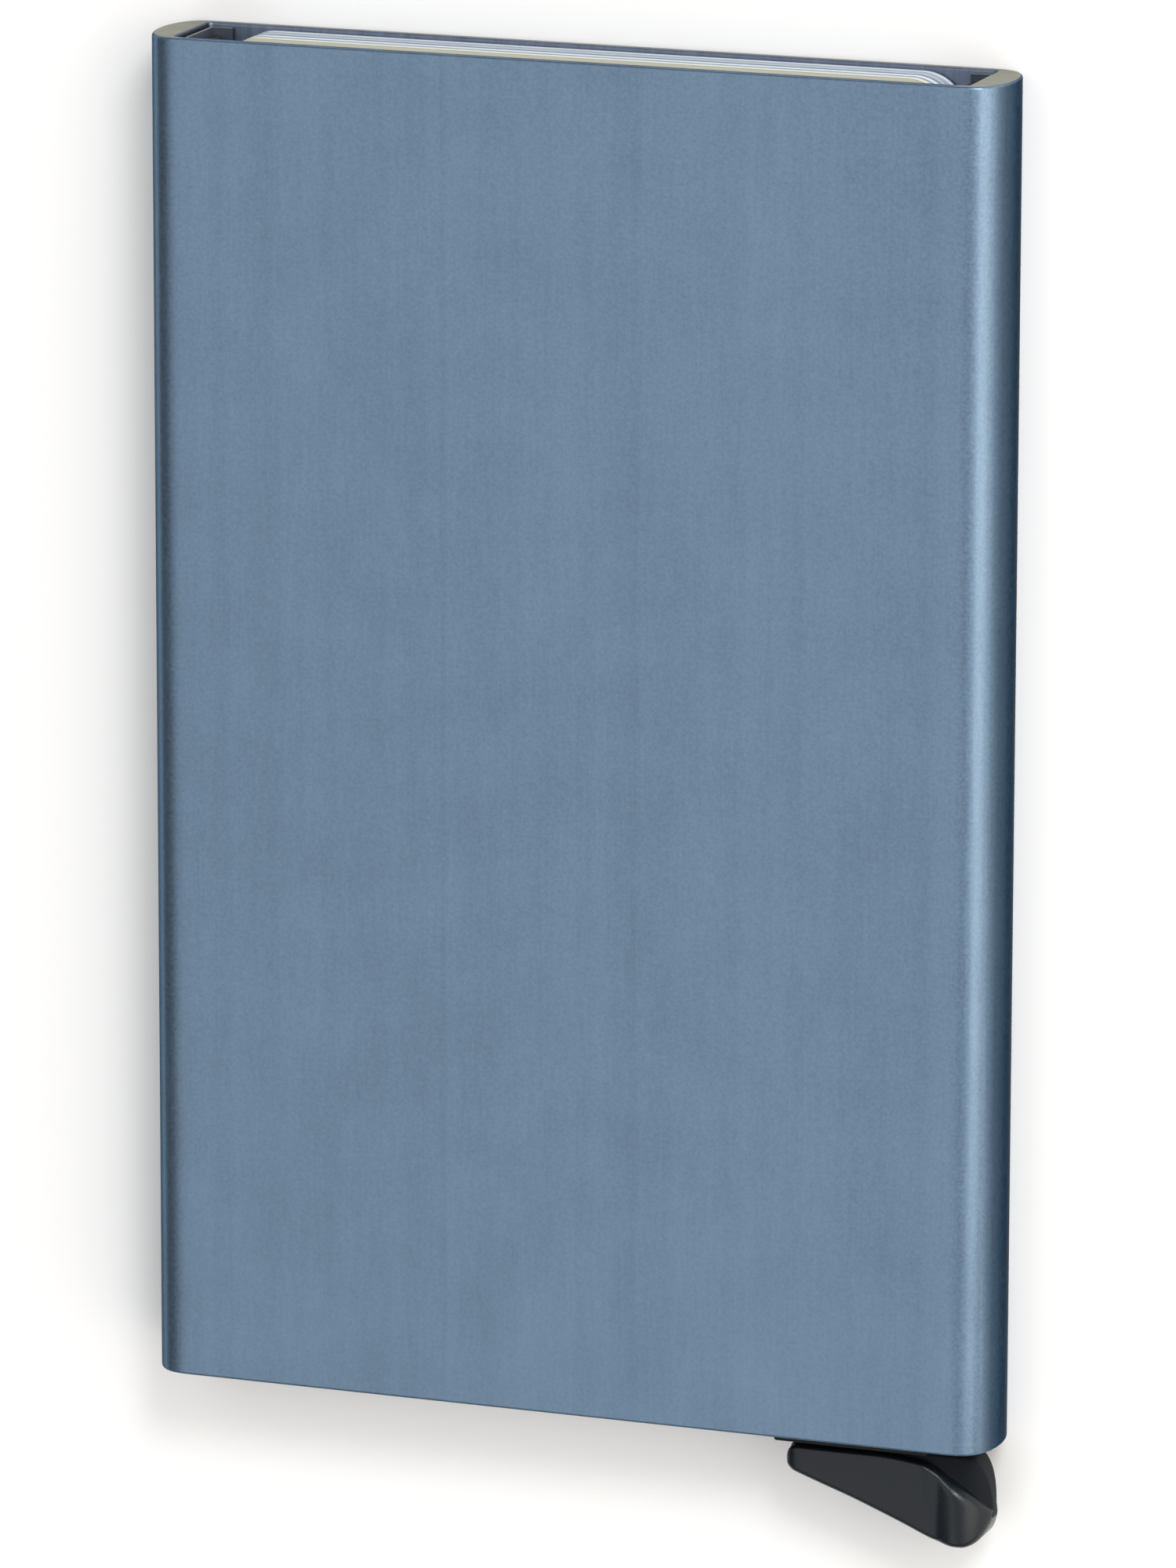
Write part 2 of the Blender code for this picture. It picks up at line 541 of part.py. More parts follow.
def build_lever():
    """Thumb piece, neck, hub and six steps as one moulding, its origin on the pivot."""
    place = (PIVOT_X, PIVOT_Y, 0.0)
    lever = add_object("lever", loft([thumb_section(row) for row in THUMB_SECTION_SHARES]), place)
    neck = rectangle(-NECK_LEFT, RIM_DROP - NECK_OVERLAP, NECK_RIGHT, 0.0)
    root_foot = -ARM_BELOW_PIVOT + STEP_DRAFT / 2
    root = [
        (ROOT_HALF_WIDTH, root_foot),
        (ROOT_HALF_WIDTH, ROOT_SHOULDER),
        (-ROOT_HALF_WIDTH, HUB_RADIUS),
        (-ROOT_REACH, ROOT_RISE),
        (-ROOT_REACH, root_foot),
    ]
    added = [
        add_object("lever_neck", prism(neck, MIDDLE_Z - WEB_HALF, MIDDLE_Z + WEB_HALF), place),
        add_object("lever_hub", cylinder(HUB_RADIUS, HUB_BACK, HUB_FRONT, HUB_FACETS), place),
        add_object("lever_root", prism(root, HUB_BACK + STEP_DRAFT, SLEEVE_FRONT), place),
    ]
    for step in range(STEP_COUNT):
        low = step_back(step) - (LAP if step else 0.0)
        high = step_back(step + 1) if step + 1 < STEP_COUNT else ARM_FRONT
        outline = step_outline(step)
        added.append(add_object(f"lever_step_{step + 1}", prism(outline, low, high), place))
    combine(lever, added, "UNION")

    groove_half = WIRE_RADIUS + FIT
    space_back = spring_bottom() - groove_half
    leg_groove = prism(rectangle(-MOVING_LEG - FIT, -groove_half, 0.0, groove_half),
                       space_back, ARM_FRONT + OVERRUN)
    start = moving_leg_start()
    bmesh.ops.rotate(leg_groove, verts=leg_groove.verts, cent=(0.0, 0.0, 0.0),
                     matrix=Matrix.Rotation(-LEG_RISE, 3, "Z"))
    bmesh.ops.translate(leg_groove, verts=leg_groove.verts, vec=(start[0], start[1], 0.0))
    cuts = [
        add_object("spring_space", cylinder(SPRING_SPACE_RADIUS, HUB_FRONT, ARM_FRONT + OVERRUN,
                                            HUB_FACETS), place),
        add_object("lever_leg_groove", leg_groove, place),
    ]
    combine(lever, cuts, "DIFFERENCE")
    sleeve = add_object("lever_sleeve", cylinder(SLEEVE_RADIUS, HUB_FRONT - LAP, SLEEVE_FRONT,
                                                 HUB_FACETS), place)
    combine(lever, [sleeve], "UNION")
    bore = add_object("lever_bore", cylinder(PIN_RADIUS + PIN_FIT, BASE_BACK, BASE_FRONT,
                                             PIN_FACETS), place)
    combine(lever, [bore], "DIFFERENCE")
    return dress(lever, (0.03, 0.033, 0.037), 0.45)


def build_pivot_pin():
    pin = add_object("pivot_pin", cylinder(PIN_RADIUS, BASE_BACK, BASE_FRONT, PIN_FACETS),
                     (PIVOT_X, PIVOT_Y, 0.0))
    soften(pin, PIN_CHAMFER, math.radians(60.0))
    return dress(pin, (0.55, 0.56, 0.58), 0.3, 1.0)


def spring_bottom():
    """Height of the wire's middle where the coil starts, next to the hub."""
    return HUB_FRONT + FIT + WIRE_RADIUS


def spring_top():
    """Height of the wire's middle where the coil ends, next to the cover."""
    return SLEEVE_FRONT - WIRE_RADIUS


def moving_leg_start():
    """Where the leg that presses on the lever leaves the coil, in pivot coordinates."""
    turn = 1.5 * math.pi - LEG_RISE
    return (COIL_RADIUS * math.cos(turn), COIL_RADIUS * math.sin(turn))


def spring_points():
    """Middle line of the wire: moving leg, coil, fixed leg, in pivot coordinates."""
    low = spring_bottom()
    high = spring_top()
    start = moving_leg_start()
    points = []
    for n in range(LEG_POINTS):
        out = MOVING_LEG * (1 - n / LEG_POINTS)
        x = start[0] - out * math.cos(LEG_RISE)
        y = start[1] + out * math.sin(LEG_RISE)
        points.append((x, y, low))
    first = 1.5 * math.pi - LEG_RISE
    last = 2 * math.pi * (1 + WHOLE_TURNS)
    count = round((last - first) / (2 * math.pi) * COIL_POINTS_PER_TURN)
    for n in range(count + 1):
        turn = first + (last - first) * n / count
        z = low + (high - low) * n / count
        points.append((COIL_RADIUS * math.cos(turn), COIL_RADIUS * math.sin(turn), z))
    for n in range(1, LEG_POINTS + 1):
        points.append((COIL_RADIUS, FIXED_LEG * n / LEG_POINTS, high))
    return points


def least_gap(points, skip):
    """Least clear distance between stretches of the wire that aren't next to each other."""
    best = None
    for a in range(len(points)):
        for b in range(a + skip, len(points)):
            gap = (Vector(points[a]) - Vector(points[b])).length - 2 * WIRE_RADIUS
            best = gap if best is None else min(best, gap)
    return best


def build_return_spring():
    points = spring_points()
    print("return spring least gap to itself, mm:",
          round(least_gap(points, COIL_POINTS_PER_TURN // 2) / MM, 3))
    wire = bpy.data.curves.new("return_spring", "CURVE")
    wire.dimensions = "3D"
    wire.bevel_depth = WIRE_RADIUS
    wire.bevel_resolution = 1
    wire.use_fill_caps = True
    run = wire.splines.new("POLY")
    run.points.add(len(points) - 1)
    for knot, point in zip(run.points, points):
        knot.co = (*point, 1.0)
    spring = bpy.data.objects.new("return_spring", wire)
    spring.location = (PIVOT_X, PIVOT_Y, 0.0)
    bpy.context.scene.collection.objects.link(spring)
    return dress(spring, (0.5, 0.5, 0.52), 0.28, 1.0)


def build_channel(side, name):
    """A thin channel section along the side wall, open towards the cards."""
    outline = [
        (CHANNEL_INNER, CHANNEL_BACK),
        (CHANNEL_OUTER, CHANNEL_BACK),
        (CHANNEL_OUTER, CHANNEL_FRONT),
        (CHANNEL_INNER, CHANNEL_FRONT),
        (CHANNEL_INNER, CHANNEL_FRONT - CHANNEL_WALL),
        (CHANNEL_OUTER - CHANNEL_WALL, CHANNEL_FRONT - CHANNEL_WALL),
        (CHANNEL_OUTER - CHANNEL_WALL, CHANNEL_BACK + CHANNEL_WALL),
        (CHANNEL_INNER, CHANNEL_BACK + CHANNEL_WALL),
    ]
    outline = [(side * x, z) for x, z in outline]
    channel = add_object(name, prism(outline, CHANNEL_FOOT, CHANNEL_TOP, "Y"))
    return dress(channel, (0.05, 0.055, 0.06), 0.6)


def build_grip_strip(side, name):
    """A soft strip in the channel, crowned towards the edges of the cards."""
    outer = CHANNEL_OUTER - CHANNEL_WALL - FIT
    low = CHANNEL_BACK + CHANNEL_WALL + FIT
    high = CHANNEL_FRONT - CHANNEL_WALL - FIT
    half = (high - low) / 2
    outline = [(outer, low), (outer, high)]
    for n in range(CROWN_FACETS + 1):
        turn = math.pi / 2 - math.pi * n / CROWN_FACETS
        x = outer - STRIP_BODY - STRIP_CROWN * math.cos(turn)
        outline.append((x, (low + high) / 2 + half * math.sin(turn)))
    outline = [(side * x, z) for x, z in outline]
    strip = add_object(name, prism(outline, CHANNEL_FOOT, RIM_TOP - STRIP_BELOW_RIM, "Y"))
    return dress(strip, (0.02, 0.02, 0.021), 0.95)


def build_card(number, colour):
    """A blank card standing on its step, its origin at its middle."""
    outline = rounded_rectangle(-CARD_WIDTH / 2, -CARD_LENGTH / 2, CARD_WIDTH / 2, CARD_LENGTH / 2,
                                CARD_CORNER_RADIUS, CARD_CORNER_FACETS)
    place = (0.0, CARD_TOP - CARD_LENGTH / 2, card_back(number - 1) + CARD_THICKNESS / 2)
    card = prism(outline, -CARD_THICKNESS / 2, CARD_THICKNESS / 2)
    return dress(add_object(f"card_{number}", card, place), colour, 0.35)


CARD_COLOURS = ((0.78, 0.8, 0.8), (0.42, 0.45, 0.52), (0.62, 0.72, 0.82), (0.8, 0.77, 0.66))


def build_card_holder():
    clear_scene()
    build_housing()
    build_base_frame()
    build_base_cover()
    build_lever()
    build_pivot_pin()
    build_return_spring()
    for side, word in ((-1, "left"), (1, "right")):
        build_channel(side, f"strip_channel_{word}")
        build_grip_strip(side, f"grip_strip_{word}")
    for number in range(1, CARDS_LOADED + 1):
        build_card(number, CARD_COLOURS[(number - 1) % len(CARD_COLOURS)])


build_card_holder()
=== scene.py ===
"""Looks of the pop-up card holder: satin anodised sleeve, charcoal thumb lever, black base,
four blank cards between two pile strips, seen lying on a pale table."""

import math

import bmesh
import bpy
from mathutils import Euler, Matrix, Vector, noise


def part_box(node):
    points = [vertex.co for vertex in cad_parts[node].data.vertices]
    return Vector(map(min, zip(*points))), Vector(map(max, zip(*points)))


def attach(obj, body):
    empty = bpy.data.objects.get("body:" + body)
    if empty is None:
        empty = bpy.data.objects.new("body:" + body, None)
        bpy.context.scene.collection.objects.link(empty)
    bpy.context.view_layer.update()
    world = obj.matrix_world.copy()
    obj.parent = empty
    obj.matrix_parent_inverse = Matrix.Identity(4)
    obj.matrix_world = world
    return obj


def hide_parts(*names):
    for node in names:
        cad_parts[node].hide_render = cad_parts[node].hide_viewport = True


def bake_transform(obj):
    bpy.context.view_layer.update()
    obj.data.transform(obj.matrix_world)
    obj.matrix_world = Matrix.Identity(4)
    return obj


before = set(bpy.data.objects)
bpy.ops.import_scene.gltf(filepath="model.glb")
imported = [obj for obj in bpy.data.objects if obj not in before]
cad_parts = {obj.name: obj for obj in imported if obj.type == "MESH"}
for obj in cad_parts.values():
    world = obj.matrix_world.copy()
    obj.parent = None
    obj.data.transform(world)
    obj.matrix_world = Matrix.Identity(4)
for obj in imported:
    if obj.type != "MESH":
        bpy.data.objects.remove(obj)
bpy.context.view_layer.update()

MM = 0.001
ORIGIN = (0.0, 0.0, 0.0)
QUARTER_TURN = math.radians(90.0)
BLACK = (0.0, 0.0, 0.0)
WHITE = (1.0, 1.0, 1.0)

# What counts as one point, as flat, as a corner and as smooth in a mesh
WELD = 0.001 * MM
FLAT_UP_TO = math.radians(0.3)
CORNER_FROM = math.radians(60.0)
EASED_FROM = math.radians(40.0)
SMOOTH_UP_TO = math.radians(35.0)
ROUND_SMOOTH_UP_TO = math.radians(50.0)
SMOOTH_ALL_OVER = math.radians(180.0)

# Colours of the finishes, as they are seen in plain light
SLEEVE_COLOUR = (0.166, 0.244, 0.341)
CUT_END_COLOUR = (0.37, 0.37, 0.335)
BORE_COLOUR = (0.18, 0.22, 0.3)
LEVER_COLOUR = (0.004, 0.007, 0.011)
LEVER_WEB_COLOUR = (0.006, 0.008, 0.011)
BASE_COLOUR = (0.01, 0.011, 0.013)
PIN_COLOUR = (0.56, 0.57, 0.58)
WIRE_COLOUR = (0.5, 0.5, 0.52)
CHANNEL_COLOUR = (0.035, 0.042, 0.062)
# Painted highlight: the rails' cut ends are painted paler, for the light line along their ends
CHANNEL_END_HIGHLIGHT_COLOUR = (0.17, 0.175, 0.16)
PILE_COLOUR = (0.012, 0.012, 0.013)
TABLE_COLOUR = (0.97, 0.97, 0.97)
# What is left of the light on bare and dyed aluminium when it is seen at a slant
SLEEVE_SLANT_TINT = (0.25, 0.25, 0.25)
CUT_END_SLANT_TINT = (0.6, 0.6, 0.55)

# Sleeve: the walls, the corners and the bulge are the same as in the part's source. The soft
# bulge is how far in from the side the flat face starts to fall away.
SIDE_BULGE = 2.13 * MM
SOFT_BULGE = 3.9 * MM
FACE_WALL = 0.65 * MM
SIDE_WALL = 2.4 * MM
CHAMBER_CORNER = 0.35 * MM
RIM_ROUNDING = 0.22 * MM
RIM_SEGMENTS = 4
SLEEVE_SEGMENTS = 128
# A face looks out of an end from this Y of its normal, and the inside starts this far up the
# rounding of the rims
SLEEVE_END_FACING = 0.9
INSIDE_STARTS = 0.9
# Faint darker lines that the die left along the sleeve: place across, half width, depth
DIE_LINES = (
    (-8.85 * MM, 0.35 * MM, 0.05),
    (5.4 * MM, 0.55 * MM, 0.045),
    (26.3 * MM, 1.2 * MM, 0.025),
)

# Cards: corner and edge, and the way from the middle of a card to its print and its face
CARD_CORNER = 3.18 * MM
CARD_EDGE_ROUNDING = 0.045 * MM
CARD_EDGE_SEGMENTS = 2
CARD_SEGMENTS = 96
PRINT_LAYER_MM = (0.29, 0.32)
FACE_LAYER = (0.355 * MM, 0.375 * MM)
CARD_PRINT_COLOUR = (0.1, 0.13, 0.22)
# Each card: its slot, the colour of its faces and the colour of its core
CARD_LOOKS = {
    "card_1": ("card_white", (0.6, 0.63, 0.67), (0.66, 0.74, 0.82)),
    "card_2": ("card_grey", (0.3, 0.34, 0.42), (0.42, 0.5, 0.58)),
    "card_3": ("card_blue", (0.44, 0.56, 0.68), (0.66, 0.75, 0.82)),
    "card_4": ("card_cream", (0.66, 0.63, 0.5), (0.7, 0.73, 0.6)),
}

# Thumb piece of the lever, as in the part's source, with a softer knob at its right end
PIVOT_TO_RIM = 4.0 * MM
THUMB_LEFT = 7.5 * MM
THUMB_LENGTH = 14.95 * MM
THUMB_DROP = 7.2 * MM
WEB_HALF = 1.4 * MM
PAD_HALF = 2.3 * MM
WEB_EDGE = 0.3 * MM
SHOULDER_FILLET = 0.25 * MM
SHOULDER_ROUNDING = 0.32 * MM
SOLE_ROUNDING = 0.5 * MM
KNOB_ROUNDING = 1.3 * MM
# Ways along the thumb piece where the knob's softness starts and where it is full
KNOB_STARTS = 0.67
KNOB_ROUND = 0.84
# Where the section is small, its roundings are held to these shares of the room they have, and
# on the knob the fillet gives this much of its share away and the shoulder takes this much more
FILLET_WIDTH_SHARE = 0.45
FILLET_HEIGHT_SHARE = 0.6
EDGE_WIDTH_SHARE = 0.5
EDGE_HEIGHT_SHARE = 0.35
PAD_HEIGHT_SHARE = 0.4
KNOB_FILLET_LESS = 0.35
KNOB_SHOULDER_MORE = 0.38
SECTION_STEPS = 4
SECTION_ARC_STEPS = 5
# The matt finish starts this far above the shoulder, and covers a cap that looks this far right
WEB_FINISH_ABOVE = 0.02 * MM
END_CAP_FACING = 0.99
# The arm's neck is cut off below the rim and sunk into the thumb piece
NECK_CUT = 0.45 * MM
NECK_SINK = 0.7 * MM

# Sections of the thumb piece, from its left tip to its right end: way along, then web top,
# shoulder and underside as shares of the drop, then web and pad thickness as shares of theirs
THUMB_SHARES = (
    (0.001, 0.240, 0.254, 0.327, 0.60, 0.66),
    (0.013, 0.178, 0.197, 0.369, 0.83, 0.87),
    (0.040, 0.117, 0.144, 0.404, 0.98, 0.97),
    (0.080, 0.090, 0.136, 0.433, 1.00, 1.00),
    (0.194, 0.086, 0.136, 0.517, 1.00, 1.00),
    (0.328, 0.086, 0.136, 0.613, 1.00, 1.00),
    (0.482, 0.088, 0.136, 0.736, 1.00, 1.00),
    (0.595, 0.097, 0.156, 0.831, 1.00, 1.00),
    (0.676, 0.104, 0.181, 0.903, 1.00, 1.00),
    (0.722, 0.104, 0.211, 0.944, 1.00, 0.985),
    (0.763, 0.104, 0.257, 0.969, 1.00, 0.995),
    (0.803, 0.104, 0.313, 0.989, 1.00, 1.075),
    (0.843, 0.104, 0.361, 1.000, 1.00, 1.12),
    (0.883, 0.108, 0.414, 1.000, 1.00, 1.09),
    (0.916, 0.125, 0.464, 0.983, 0.96, 1.00),
    (0.946, 0.188, 0.523, 0.944, 0.86, 0.85),
    (0.970, 0.278, 0.588, 0.882, 0.71, 0.66),
    (0.987, 0.389, 0.632, 0.813, 0.53, 0.48),
    (0.997, 0.514, 0.656, 0.750, 0.35, 0.32),
    (1.000, 0.611, 0.667, 0.708, 0.21, 0.19),
)

# Base and pin
BASE_EDGE_EASE = 0.05 * MM
BASE_EDGE_SEGMENTS = 2
PIN_CHAMFER = 0.15 * MM
PIN_CHAMFER_SEGMENTS = 2
PIN_SEGMENTS = 64

# Spring: a leg along the lever's root, the coil, and a leg up the block of the base
WIRE_RADIUS = 0.225 * MM
WIRE_SEGMENTS = 16
COIL_RADIUS = 2.25 * MM
COIL_TURN = math.radians(830.0)
COIL_STEPS = 166
MOVING_LEG = 5.6 * MM
FIXED_LEG = 5.3 * MM
COIL_STARTS = math.radians(250.0)
LEG_ON_LEVER_Z = 3.725 * MM
LEG_ON_BASE_Z = 6.075 * MM

# Strips and their channels
CHANNEL_EDGE_EASE = 0.04 * MM
CHANNEL_EDGE_SEGMENTS = 2
CHANNEL_END_FACING = 0.5
STRIP_CROWN = 0.45 * MM
STRIP_CORNER = 0.16 * MM
STRIP_SEGMENTS = 48
STRIP_STEP = 0.3 * MM
PILE_DEPTH = 0.05 * MM
PILE_FINENESS = 2600.0

# Patterns: most of a noise lies in this span, a tone's even part brings patterns of a half each
# up to 1, and a tone may be painted up to its top
NOISE_SPAN = (0.3, 0.7)
EVEN_TONE = 0.4
TOP_TONE = 2.0
# Places of the colour sockets on a Mix node, after its number and vector ones
MIX_COLOURS = (6, 7)
MIX_RESULT = 2

TABLE_HALF = 2.0
TABLE_BELOW = 0.02 * MM
TABLE_ROUGHNESS = 0.9

# Light of the studio, as brightness, where 1 shows as white. The dome's edge and full part are
# cosines from its centre.
DOME_CENTRE = Vector((0.4, 0.1, 0.91))
DOME_EDGE = 0.34
DOME_FULL = 0.66
DOME_BRIGHTNESS = 1.17
HORIZON_BRIGHTNESS = 0.2
GAP_PLACE = 0.08
GAP_HALF_WIDTH = 0.3
GAP_DEPTH = 0.6
# Each softbox: name, place, width, height, brightness, colour
SOFTBOXES = (
    ("right_softbox", (0.89, 0.07, 0.46), 1.15, 1.0, 0.98, (1.0, 0.88, 0.72)),
    ("foot_softbox", (-0.25, -0.7, 0.72), 0.8, 0.5, 0.35, WHITE),
    ("head_softbox", (0.42, 0.6, 0.68), 0.28, 0.26, 12.0, WHITE),
)
# A lamp's watts for a square metre of its face at a brightness of 1
WATTS_PER_AREA = 4.0

CAMERA_PLACE = (0.24393796, 0.16760906, 0.67739378)
CAMERA_TURN = (-13.38756, 19.90196, 0.12668)
CAMERA_LENS_MM = 241.0117
CAMERA_SENSOR_MM = 36.0
CAMERA_CLIP = 0.01

sleeve_low, sleeve_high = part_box("housing")
LENGTH = sleeve_high.y - sleeve_low.y
WIDTH = sleeve_high.x - sleeve_low.x
THICKNESS = sleeve_high.z - sleeve_low.z
MIDDLE_Z = (sleeve_low.z + sleeve_high.z) / 2
RIM_BOTTOM = sleeve_low.y
pin_low, pin_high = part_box("pivot_pin")
PIVOT = Vector(((pin_low.x + pin_high.x) / 2, (pin_low.y + pin_high.y) / 2, 0.0))
THUMB_RIM = PIVOT.y - PIVOT_TO_RIM


# Patterns

def new_finish(name):
    """A material with its node tree, its shader and the object's own coordinates."""
    finish = bpy.data.materials.new(name)
    finish.use_nodes = True
    tree = finish.node_tree
    shader = tree.nodes["Principled BSDF"]
    coords = tree.nodes.new("ShaderNodeTexCoord")
    return finish, tree, shader, coords.outputs["Object"]


def worked_out(tree, operation, *values):
    """The result of a Math node whose inputs are sockets or plain numbers."""
    step = tree.nodes.new("ShaderNodeMath")
    step.operation = operation
    for socket, value in zip(step.inputs, values):
        if isinstance(value, float):
            socket.default_value = value
        else:
            tree.links.new(value, socket)
    return step.outputs[0]


def sum_of(tree, total, *weighted):
    """A first number or socket, with each of the others added to it times its weight."""
    for value, weight in weighted:
        total = worked_out(tree, "MULTIPLY_ADD", value, weight, total)
    return total


def noise_pattern(tree, coords, scale, stretch=(1.0, 1.0, 1.0), detail=2.0, roughness=0.5):
    """A noise whose grain is 1 / scale metres, drawn out by the stretch."""
    place = tree.nodes.new("ShaderNodeMapping")
    place.inputs["Scale"].default_value = stretch
    tree.links.new(coords, place.inputs["Vector"])
    pattern = tree.nodes.new("ShaderNodeTexNoise")
    pattern.inputs["Scale"].default_value = scale
    pattern.inputs["Detail"].default_value = detail
    pattern.inputs["Roughness"].default_value = roughness
    tree.links.new(place.outputs["Vector"], pattern.inputs["Vector"])
    return pattern.outputs["Fac"]


def spread(tree, value, span, onto):
    """A number that goes from end to end of one span as the value does in its own."""
    ramp = tree.nodes.new("ShaderNodeMapRange")
    ramp.inputs["From Min"].default_value, ramp.inputs["From Max"].default_value = span
    ramp.inputs["To Min"].default_value, ramp.inputs["To Max"].default_value = onto
    tree.links.new(value, ramp.inputs["Value"])
    return ramp.outputs["Result"]


def between(tree, value, span, dark, light):
    """A colour that goes from dark to light as the value goes through its span."""
    mix = tree.nodes.new("ShaderNodeMix")
    mix.data_type = "RGBA"
    tree.links.new(spread(tree, value, span, (0.0, 1.0)), mix.inputs["Factor"])
    for place, colour in zip(MIX_COLOURS, (dark, light)):
        if isinstance(colour, tuple):
            mix.inputs[place].default_value = (*colour, 1.0)
        else:
            tree.links.new(colour, mix.inputs[place])
    return mix.outputs[MIX_RESULT]


def distance_from(tree, vector, axis, place=0.0):
    """How far the vector is from this place along the axis, on either side."""
    split = tree.nodes.new("ShaderNodeSeparateXYZ")
    tree.links.new(vector, split.inputs["Vector"])
    away = worked_out(tree, "SUBTRACT", split.outputs[axis], place)
    return worked_out(tree, "ABSOLUTE", away)


def stripe(tree, coords, place, half_width):
    """1 on a line at this X, falling to 0 at its half width."""
    return spread(tree, distance_from(tree, coords, "X", place), (0.0, half_width), (1.0, 0.0))


def turned_aside(tree, coords, span, least):
    """1 on the flat faces, and this least value on the walls that look left and right."""
    normal = coords.node.outputs["Normal"]
    return spread(tree, distance_from(tree, normal, "X"), span, (1.0, least))


# What a finish does to its shader

def shade(colour, factor):
    return tuple(value * factor for value in colour)


def paint(tree, shader, colour):
    tree.links.new(colour, shader.inputs["Base Color"])


def paint_by_tone(tree, shader, tone, colour):
    """Paint in the colour times a tone, where 1 leaves it as it is written."""
    paint(tree, shader, between(tree, tone, (0.0, TOP_TONE), BLACK, shade(colour, TOP_TONE)))


def mottle(tree, shader, pattern, colour, darkest, lightest):
    """Paint from the colour's darkest to its lightest share, as the pattern goes."""
    dark, light = shade(colour, darkest), shade(colour, lightest)
    paint(tree, shader, between(tree, pattern, NOISE_SPAN, dark, light))


def roughen(tree, shader, pattern, least, most):
    tree.links.new(spread(tree, pattern, NOISE_SPAN, (least, most)), shader.inputs["Roughness"])


def relief(tree, shader, height, depth, strength):
    """Let a height of 1 stand this depth proud of the surface, as far as light can tell."""
    bump = tree.nodes.new("ShaderNodeBump")
    bump.inputs["Distance"].default_value = depth
    bump.inputs["Strength"].default_value = strength
    tree.links.new(height, bump.inputs["Height"])
    tree.links.new(bump.outputs["Normal"], shader.inputs["Normal"])


# Finishes

def anodised_aluminium(name, colour):
    """Satin anodised extrusion: fine blasted speckle, and faint lines along the die's way."""
    finish, tree, shader, coords = new_finish(name)
    speckle = noise_pattern(tree, coords, scale=4300.0, detail=3.0, roughness=0.65)
    grain = noise_pattern(tree, coords, scale=5200.0, stretch=(1.0, 0.05, 1.0))
    bands = noise_pattern(tree, coords, scale=420.0, stretch=(1.0, 0.006, 1.0), detail=3.0)
    clouds = noise_pattern(tree, coords, scale=160.0, detail=3.0)
    lines = [(stripe(tree, coords, place, half_width), -depth)
             for place, half_width, depth in DIE_LINES]
    face_tone = sum_of(tree, EVEN_TONE, (speckle, 0.7), (grain, 0.14), (bands, 0.18),
                       (clouds, 0.18), *lines)
    # Painted shade: the walls that look left and right are painted darker, in place of the dark
    # reflections they show
    painted_side_shade = turned_aside(tree, coords, span=(0.84, 0.96), least=0.48)
    tone = worked_out(tree, "MULTIPLY", face_tone, painted_side_shade)
    paint_by_tone(tree, shader, tone, colour)
    roughen(tree, shader, speckle, least=0.3, most=0.4)
    shader.inputs["Metallic"].default_value = 1.0
    # Seen at a slant, the dyed layer is passed through for longer and turns deeper
    shader.inputs["Specular Tint"].default_value = (*SLEEVE_SLANT_TINT, 1.0)
    height = sum_of(tree, 0.0, (speckle, 1.0), (grain, 0.3))
    relief(tree, shader, height, depth=0.0015 * MM, strength=0.6)
    return finish


def cut_aluminium(name, colour):
    """Sawn and deburred ends: paler, with fine tool marks across the wall."""
    finish, tree, shader, coords = new_finish(name)
    marks = noise_pattern(tree, coords, scale=5200.0, stretch=(0.12, 1.0, 1.0), detail=3.0)
    cloud = noise_pattern(tree, coords, scale=900.0)
    mixed = sum_of(tree, 0.0, (marks, 0.6), (cloud, 0.4))
    mottle(tree, shader, mixed, colour, darkest=0.85, lightest=1.15)
    roughen(tree, shader, marks, least=0.42, most=0.54)
    shader.inputs["Metallic"].default_value = 1.0
    shader.inputs["Specular Tint"].default_value = (*CUT_END_SLANT_TINT, 1.0)
    relief(tree, shader, marks, depth=0.004 * MM, strength=0.6)
    return finish


def drawn_bore(name, colour):
    """The unblasted inside of the extrusion, duller, with plain die lines along it."""
    finish, tree, shader, coords = new_finish(name)
    lines = noise_pattern(tree, coords, scale=2600.0, stretch=(1.0, 0.02, 1.0), detail=4.0)
    cloud = noise_pattern(tree, coords, scale=500.0)
    wall_tone = sum_of(tree, EVEN_TONE, (lines, 0.8), (cloud, 0.4))
    # Painted shade: the inner walls at the sides are painted darker, for the shade inside the
    # chamber
    painted_side_shade = turned_aside(tree, coords, span=(0.5, 0.9), least=0.3)
    tone = worked_out(tree, "MULTIPLY", wall_tone, painted_side_shade)
    paint_by_tone(tree, shader, tone, colour)
    roughen(tree, shader, lines, least=0.36, most=0.5)
    shader.inputs["Metallic"].default_value = 1.0
    relief(tree, shader, lines, depth=0.004 * MM, strength=0.6)
    return finish


def moulded_plastic(name, colour, roughness, grain_depth, grain_scale, gloss):
    """Matt moulded plastic with an eroded mould grain and slightly polished highs."""
    finish, tree, shader, coords = new_finish(name)
    shader.inputs["Specular IOR Level"].default_value = gloss
    grain = noise_pattern(tree, coords, scale=grain_scale, detail=3.0, roughness=0.6)
    flow = noise_pattern(tree, coords, scale=420.0, stretch=(0.35, 1.0, 1.0))
    mixed = sum_of(tree, 0.0, (grain, 0.7), (flow, 0.3))
    mottle(tree, shader, mixed, colour, darkest=0.8, lightest=1.2)
    roughen(tree, shader, mixed, *roughness)
    relief(tree, shader, grain, depth=grain_depth, strength=0.5)
    return finish


def ground_steel(name, colour, stretch):
    """Bright steel with fine lines where it was drawn or ground."""
    finish, tree, shader, coords = new_finish(name)
    lines = noise_pattern(tree, coords, scale=5200.0, stretch=stretch, detail=3.0)
    mottle(tree, shader, lines, colour, darkest=0.82, lightest=1.12)
    roughen(tree, shader, lines, least=0.2, most=0.38)
    shader.inputs["Metallic"].default_value = 1.0
    relief(tree, shader, lines, depth=0.002 * MM, strength=0.5)
    return finish


